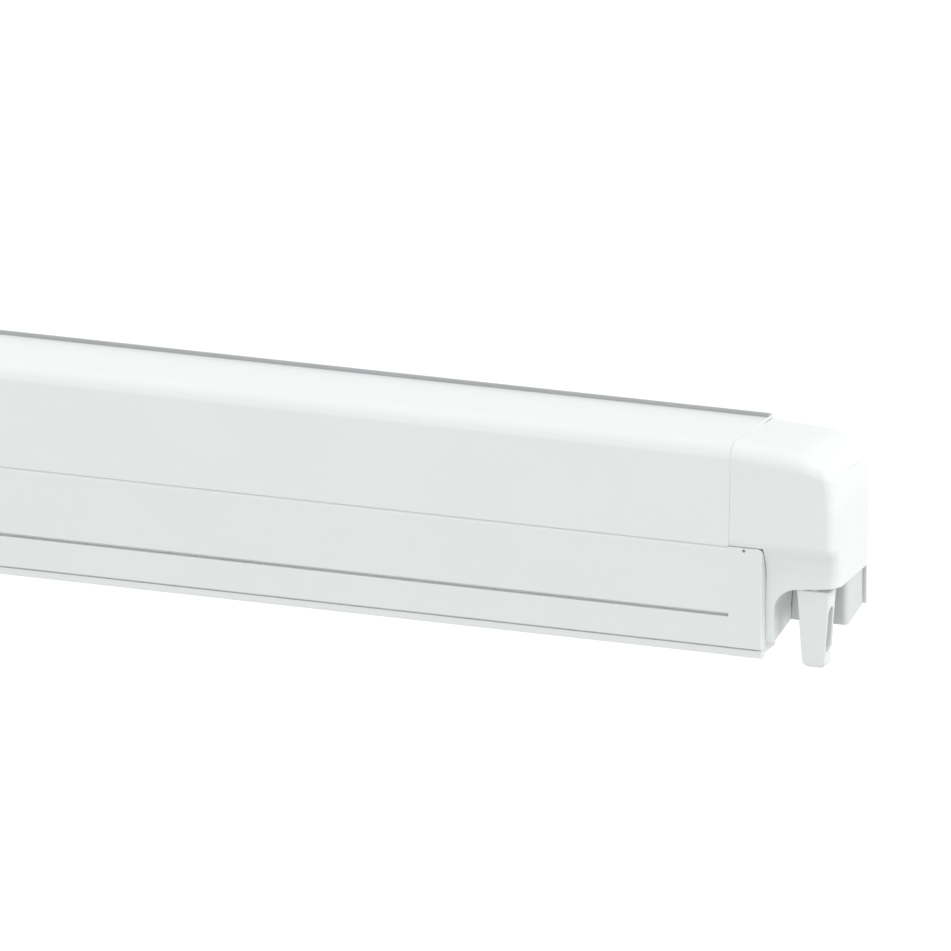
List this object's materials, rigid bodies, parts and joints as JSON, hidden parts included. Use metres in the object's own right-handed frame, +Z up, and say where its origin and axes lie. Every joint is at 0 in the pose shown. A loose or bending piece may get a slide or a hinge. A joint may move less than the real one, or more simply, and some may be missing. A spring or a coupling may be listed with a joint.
{
  "type": "roll out awning",
  "caption": "Closed cassette awning with a roller, worm drive and crank eye, two folding arms and a lead bar that stores two telescopic legs.",
  "frame": {"origin": "centre of the middle wall bracket's back face, on the wall", "axes": "+X along the case to the crank end, +Y into the wall, +Z up"},
  "size_m": [4.5154, 0.098, 0.1589],
  "materials": {
    "white_paint": "powder coated, satin",
    "white_plastic": "moulded, fine grained",
    "grey_rubber": "extruded",
    "bracket_paint": "anodised",
    "cast_aluminium": "die cast",
    "arm_finish": "anodised tube",
    "steel": "zinc plated",
    "grey_plastic": "moulded",
    "black_plastic": "moulded",
    "gear_bronze": "hobbed",
    "awning_cloth": "coated cloth"
  },
  "bodies": {
    "case": {"case_hood": "white_paint", "case_back": "white_paint", "case_floor": "white_paint", "rain_seal": "grey_rubber", "front_seal": "grey_rubber", "wall_bracket_left": "bracket_paint", "wall_bracket_centre": "bracket_paint", "wall_bracket_right": "bracket_paint", "bracket_screws": "steel", "end_frame_right": "cast_aluminium", "end_frame_left": "cast_aluminium", "roller_bearings": "black_plastic", "end_cap_right": "white_plastic", "end_cap_left": "white_plastic", "end_cap_screws": "steel", "winch_housing": "grey_plastic", "shoulder_bracket_right": "cast_aluminium", "shoulder_bracket_left": "cast_aluminium", "shoulder_pins": "steel"},
    "roller": {"roller_tube": "steel", "roller_plug_right": "grey_plastic", "roller_plug_left": "grey_plastic", "fabric_roll": "awning_cloth", "worm_wheel": "gear_bronze"},
    "worm": {"worm_shaft": "steel", "crank_eye": "grey_plastic", "eye_pin": "steel"},
    "lead_bar": {"lead_bar_profile": "white_paint", "lead_bar_cap_right": "white_plastic", "lead_bar_cap_left": "white_plastic", "fabric_keder": "awning_cloth", "wrist_bracket_right": "cast_aluminium", "wrist_bracket_left": "cast_aluminium", "wrist_pins": "steel", "leg_brackets": "black_plastic", "leg_pivot_pins": "steel", "leg_clips": "black_plastic"},
    "fabric": {"fabric_run": "awning_cloth"},
    "upper_arm_right": {"upper_arm_tube_right": "arm_finish", "shoulder_knuckle_right": "cast_aluminium", "elbow_fork_right": "cast_aluminium", "elbow_pin_right": "steel"},
    "forearm_right": {"forearm_tube_right": "arm_finish", "elbow_tongue_right": "cast_aluminium", "wrist_tongue_right": "cast_aluminium"},
    "leg_right": {"leg_tube_right": "arm_finish"},
    "leg_inner_right": {"leg_inner_right": "arm_finish"},
    "foot_right": {"leg_foot_right": "grey_plastic"},
    "lever_right": {"leg_lever_right": "grey_plastic"},
    "upper_arm_left": {"upper_arm_tube_left": "arm_finish", "shoulder_knuckle_left": "cast_aluminium", "elbow_fork_left": "cast_aluminium", "elbow_pin_left": "steel"},
    "forearm_left": {"forearm_tube_left": "arm_finish", "elbow_tongue_left": "cast_aluminium", "wrist_tongue_left": "cast_aluminium"},
    "leg_left": {"leg_tube_left": "arm_finish"},
    "leg_inner_left": {"leg_inner_left": "arm_finish"},
    "foot_left": {"leg_foot_left": "grey_plastic"},
    "lever_left": {"leg_lever_left": "grey_plastic"}
  },
  "joints": [
    {"name": "roll_out", "type": "hinge", "parent": "case", "child": "upper_arm_right", "pos_m": [2.12, -0.022, -0.0464], "axis": [0, -0.1392, 0.9903], "range_deg": [0, 77]},
    {"name": "elbow_right", "type": "hinge", "parent": "upper_arm_right", "child": "forearm_right", "pos_m": [0.84013, -0.03982, -0.0489], "axis": [0, -0.1392, 0.9903], "range_deg": [-154, 0]},
    {"name": "wrist_right", "type": "hinge", "parent": "forearm_right", "child": "lead_bar", "pos_m": [2.12, -0.05765, -0.05141], "axis": [0, -0.1392, 0.9903], "range_deg": [0, 77]},
    {"name": "shoulder_left", "type": "hinge", "parent": "case", "child": "upper_arm_left", "pos_m": [-2.12, -0.022, -0.0464], "axis": [0, -0.1392, 0.9903], "range_deg": [-77, 0]},
    {"name": "elbow_left", "type": "hinge", "parent": "upper_arm_left", "child": "forearm_left", "pos_m": [-0.84013, -0.03982, -0.0489], "axis": [0, -0.1392, 0.9903], "range_deg": [0, 154]},
    {"name": "roller_turn", "type": "hinge", "parent": "case", "child": "roller", "pos_m": [0, -0.05, 0.026], "axis": [1, 0, 0], "range_deg": [-4180.7, 0]},
    {"name": "worm_turn", "type": "hinge", "parent": "case", "child": "worm", "pos_m": [2.2365, -0.076, 0.026], "axis": [0, 0, 1], "range_deg": [-83595.7, 0]},
    {"name": "fabric_pay_out", "type": "slide", "parent": "lead_bar", "child": "fabric", "axis": [0, 0.9903, 0.1392], "range_m": [0, 2.4672]},
    {"name": "leg_swing_right", "type": "hinge", "parent": "lead_bar", "child": "leg_right", "pos_m": [2.15, -0.08175, -0.06], "axis": [0, -1, 0], "range_deg": [0, 90]},
    {"name": "leg_extend_right", "type": "slide", "parent": "leg_right", "child": "leg_inner_right", "axis": [-1, 0, 0], "range_m": [0, 0.8]},
    {"name": "foot_fold_right", "type": "hinge", "parent": "leg_inner_right", "child": "foot_right", "pos_m": [0.9, -0.08175, -0.06], "axis": [0, 1, 0], "range_deg": [0, 90]},
    {"name": "lever_turn_right", "type": "hinge", "parent": "leg_right", "child": "lever_right", "pos_m": [0.99, -0.08175, -0.0752], "axis": [0, 1, 0], "range_deg": [0, 90]},
    {"name": "leg_swing_left", "type": "hinge", "parent": "lead_bar", "child": "leg_left", "pos_m": [-2.15, -0.08175, -0.06], "axis": [0, 1, 0], "range_deg": [0, 90]},
    {"name": "leg_extend_left", "type": "slide", "parent": "leg_left", "child": "leg_inner_left", "axis": [1, 0, 0], "range_m": [0, 0.8]},
    {"name": "foot_fold_left", "type": "hinge", "parent": "leg_inner_left", "child": "foot_left", "pos_m": [-0.9, -0.08175, -0.06], "axis": [0, -1, 0], "range_deg": [0, 90]},
    {"name": "lever_turn_left", "type": "hinge", "parent": "leg_left", "child": "lever_left", "pos_m": [-0.99, -0.08175, -0.0752], "axis": [0, -1, 0], "range_deg": [0, 90]}
  ],
  "couplings": [
    {"joint": "elbow_right", "follows": "roll_out", "ratio": -2},
    {"joint": "wrist_right", "follows": "roll_out", "ratio": 1},
    {"joint": "shoulder_left", "follows": "roll_out", "ratio": -1},
    {"joint": "elbow_left", "follows": "roll_out", "ratio": 2},
    {"joint": "roller_turn", "follows": "roll_out", "ratio": -54.282},
    {"joint": "worm_turn", "follows": "roll_out", "ratio": -1085.6},
    {"joint": "fabric_pay_out", "follows": "roll_out", "m_per_rad": 1.8351}
  ]
}
